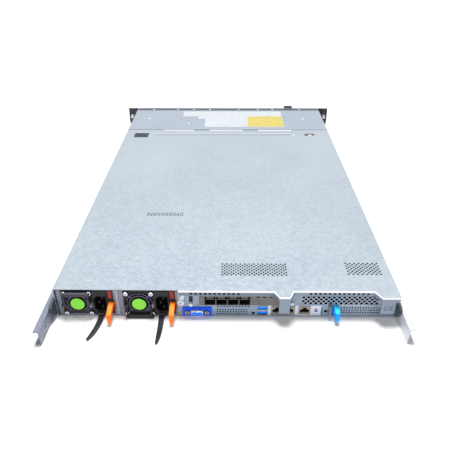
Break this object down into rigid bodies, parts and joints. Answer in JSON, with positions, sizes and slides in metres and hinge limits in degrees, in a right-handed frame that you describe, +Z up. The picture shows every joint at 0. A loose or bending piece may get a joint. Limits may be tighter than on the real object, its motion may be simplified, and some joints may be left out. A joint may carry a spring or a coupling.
{
  "type": "rack server",
  "caption": "Flat one-unit rack server with a removable ridged-edge cover, rear supplies with folding handles and orange latches, ports, and side rails.",
  "frame": {"origin": "on the underside, at the middle of the rear panel's outer face", "axes": "+Z up, +Y towards the front of the server, +X to the right seen from behind"},
  "size_m": [0.4826, 0.767, 0.043],
  "materials": {
    "galvanised": "satin",
    "tray_steel": "satin",
    "cage_paint": "satin",
    "rail_steel": "satin",
    "black_metal": "satin",
    "black_plastic": "matte",
    "orange_plastic": "gloss",
    "blue_plastic": "gloss",
    "vga_blue": "gloss",
    "stop_plastic": "matte",
    "guard_wire": "polished",
    "screw_steel": "polished",
    "connector_tin": "satin",
    "board": "matte",
    "memory_board": "matte",
    "sink": "satin",
    "button_blue": "gloss"
  },
  "bodies": {
    "chassis": {"chassis_tray": "tray_steel", "front_deck": "galvanised", "rear_io_panel": "galvanised", "slot_cover": "galvanised", "network_card_bracket": "connector_tin", "network_card": "board", "riser_board": "board", "vga_connector": "vga_blue", "usb_ports": "connector_tin", "lan_ports": "connector_tin", "panel_fittings": "screw_steel", "psu_bay_frame": "galvanised", "power_board": "board", "motherboard": "board", "heatsinks": "sink", "memory_modules": "memory_board", "fan_wall": "black_plastic", "drive_cage": "cage_paint", "drive_backplane": "board", "rail_left": "rail_steel", "rail_right": "rail_steel", "rail_stops": "stop_plastic", "ear_left": "black_metal", "ear_right": "black_metal"},
    "cover": {"top_cover": "galvanised"},
    "cover_release": {"cover_release": "black_plastic"},
    "cover_lock_screw": {"cover_lock_screw": "screw_steel"},
    "psu_1": {"psu_1_case": "black_metal", "psu_1_inlet": "black_plastic", "psu_1_fan_guard": "guard_wire", "psu_1_strap": "black_plastic"},
    "psu_1_rotor": {"psu_1_rotor": "black_plastic"},
    "psu_1_handle": {"psu_1_handle": "black_plastic"},
    "psu_1_latch": {"psu_1_latch": "orange_plastic"},
    "psu_2": {"psu_2_case": "black_metal", "psu_2_inlet": "black_plastic", "psu_2_fan_guard": "guard_wire", "psu_2_strap": "black_plastic"},
    "psu_2_rotor": {"psu_2_rotor": "black_plastic"},
    "psu_2_handle": {"psu_2_handle": "black_plastic"},
    "psu_2_latch": {"psu_2_latch": "orange_plastic"},
    "fan_rotor_1": {"fan_rotor_1": "black_plastic"},
    "fan_rotor_2": {"fan_rotor_2": "black_plastic"},
    "fan_rotor_3": {"fan_rotor_3": "black_plastic"},
    "fan_rotor_4": {"fan_rotor_4": "black_plastic"},
    "fan_rotor_5": {"fan_rotor_5": "black_plastic"},
    "drive_carrier_1": {"drive_carrier_1": "black_metal"},
    "carrier_lever_1": {"carrier_lever_1": "cage_paint"},
    "drive_carrier_2": {"drive_carrier_2": "black_metal"},
    "carrier_lever_2": {"carrier_lever_2": "cage_paint"},
    "drive_carrier_3": {"drive_carrier_3": "black_metal"},
    "carrier_lever_3": {"carrier_lever_3": "cage_paint"},
    "drive_carrier_4": {"drive_carrier_4": "black_metal"},
    "carrier_lever_4": {"carrier_lever_4": "cage_paint"},
    "blue_latch": {"blue_latch": "blue_plastic"},
    "uid_button": {"uid_button": "button_blue"},
    "power_button": {"power_button": "black_plastic"},
    "ear_screw_left": {"ear_screw_left": "screw_steel"},
    "ear_screw_right": {"ear_screw_right": "screw_steel"},
    "info_tag": {"info_tag": "black_plastic"}
  },
  "joints": [
    {"name": "cover_lift", "type": "slide", "parent": "chassis", "child": "cover", "axis": [0, 0, 1], "range_m": [0, 0.08]},
    {"name": "release_press", "type": "slide", "parent": "cover", "child": "cover_release", "axis": [0, 0, -1], "range_m": [0, 0.001], "stiffness_N_per_m": 200, "springref_m": -0.002},
    {"name": "lock_turn", "type": "hinge", "parent": "cover", "child": "cover_lock_screw", "pos_m": [0.1755, 0.515, 0.04], "axis": [0, 0, 1], "range_deg": [0, 90]},
    {"name": "psu_1_pull", "type": "slide", "parent": "chassis", "child": "psu_1", "axis": [0, -1, 0], "range_m": [0, 0.19]},
    {"name": "psu_1_fan_spin", "type": "hinge", "parent": "psu_1", "child": "psu_1_rotor", "pos_m": [-0.1878, 0.012, 0.021], "axis": [0, 1, 0], "continuous": true},
    {"name": "psu_1_handle_fold", "type": "hinge", "parent": "psu_1", "child": "psu_1_handle", "pos_m": [-0.1878, -0.0044, 0.0205], "axis": [1, 0, 0], "range_deg": [0, 180]},
    {"name": "psu_1_latch_press", "type": "hinge", "parent": "psu_1", "child": "psu_1_latch", "pos_m": [-0.1447, 0.01, 0.0178], "axis": [0, 0, 1], "range_deg": [-3, 0], "stiffness_Nm_per_rad": 0.05, "springref_deg": 5.73},
    {"name": "psu_2_pull", "type": "slide", "parent": "chassis", "child": "psu_2", "axis": [0, -1, 0], "range_m": [0, 0.19]},
    {"name": "psu_2_fan_spin", "type": "hinge", "parent": "psu_2", "child": "psu_2_rotor", "pos_m": [-0.1092, 0.012, 0.021], "axis": [0, 1, 0], "continuous": true},
    {"name": "psu_2_handle_fold", "type": "hinge", "parent": "psu_2", "child": "psu_2_handle", "pos_m": [-0.1092, -0.0044, 0.0205], "axis": [1, 0, 0], "range_deg": [-180, 0]},
    {"name": "psu_2_latch_press", "type": "hinge", "parent": "psu_2", "child": "psu_2_latch", "pos_m": [-0.0661, 0.01, 0.0178], "axis": [0, 0, 1], "range_deg": [-3, 0], "stiffness_Nm_per_rad": 0.05, "springref_deg": 5.73},
    {"name": "fan_1_spin", "type": "hinge", "parent": "chassis", "child": "fan_rotor_1", "pos_m": [-0.172, 0.457, 0.021], "axis": [0, 1, 0], "continuous": true},
    {"name": "fan_2_spin", "type": "hinge", "parent": "chassis", "child": "fan_rotor_2", "pos_m": [-0.086, 0.457, 0.021], "axis": [0, 1, 0], "continuous": true},
    {"name": "fan_3_spin", "type": "hinge", "parent": "chassis", "child": "fan_rotor_3", "pos_m": [0, 0.457, 0.021], "axis": [0, 1, 0], "continuous": true},
    {"name": "fan_4_spin", "type": "hinge", "parent": "chassis", "child": "fan_rotor_4", "pos_m": [0.086, 0.457, 0.021], "axis": [0, 1, 0], "continuous": true},
    {"name": "fan_5_spin", "type": "hinge", "parent": "chassis", "child": "fan_rotor_5", "pos_m": [0.172, 0.457, 0.021], "axis": [0, 1, 0], "continuous": true},
    {"name": "carrier_1_pull", "type": "slide", "parent": "chassis", "child": "drive_carrier_1", "axis": [0, 1, 0], "range_m": [0, 0.18]},
    {"name": "lever_1_open", "type": "hinge", "parent": "drive_carrier_1", "child": "carrier_lever_1", "pos_m": [-0.1134, 0.6904, 0.018], "axis": [0, 0, 1], "range_deg": [-70, 0]},
    {"name": "carrier_2_pull", "type": "slide", "parent": "chassis", "child": "drive_carrier_2", "axis": [0, 1, 0], "range_m": [0, 0.18]},
    {"name": "lever_2_open", "type": "hinge", "parent": "drive_carrier_2", "child": "carrier_lever_2", "pos_m": [-0.00635, 0.6904, 0.018], "axis": [0, 0, 1], "range_deg": [-70, 0]},
    {"name": "carrier_3_pull", "type": "slide", "parent": "chassis", "child": "drive_carrier_3", "axis": [0, 1, 0], "range_m": [0, 0.18]},
    {"name": "lever_3_open", "type": "hinge", "parent": "drive_carrier_3", "child": "carrier_lever_3", "pos_m": [0.10035, 0.6904, 0.018], "axis": [0, 0, 1], "range_deg": [-70, 0]},
    {"name": "carrier_4_pull", "type": "slide", "parent": "chassis", "child": "drive_carrier_4", "axis": [0, 1, 0], "range_m": [0, 0.18]},
    {"name": "lever_4_open", "type": "hinge", "parent": "drive_carrier_4", "child": "carrier_lever_4", "pos_m": [0.2074, 0.6904, 0.018], "axis": [0, 0, 1], "range_deg": [-70, 0]},
    {"name": "blue_latch_press", "type": "hinge", "parent": "chassis", "child": "blue_latch", "pos_m": [0.1414, 0.01, 0.011], "axis": [0, 0, 1], "range_deg": [-3, 0], "stiffness_Nm_per_rad": 0.05, "springref_deg": 5.73},
    {"name": "uid_press", "type": "slide", "parent": "chassis", "child": "uid_button", "axis": [0, 1, 0], "range_m": [0, 0.001], "stiffness_N_per_m": 200, "springref_m": -0.001},
    {"name": "power_press", "type": "slide", "parent": "chassis", "child": "power_button", "axis": [0, -1, 0], "range_m": [0, 0.001], "stiffness_N_per_m": 200, "springref_m": -0.001},
    {"name": "ear_screw_left_turn", "type": "hinge", "parent": "chassis", "child": "ear_screw_left", "pos_m": [-0.23255, 0.69, 0.024], "axis": [0, 1, 0], "continuous": true},
    {"name": "ear_screw_right_turn", "type": "hinge", "parent": "chassis", "child": "ear_screw_right", "pos_m": [0.23255, 0.69, 0.024], "axis": [0, 1, 0], "continuous": true},
    {"name": "tag_pull", "type": "slide", "parent": "chassis", "child": "info_tag", "axis": [0, 1, 0], "range_m": [0, 0.06]}
  ]
}
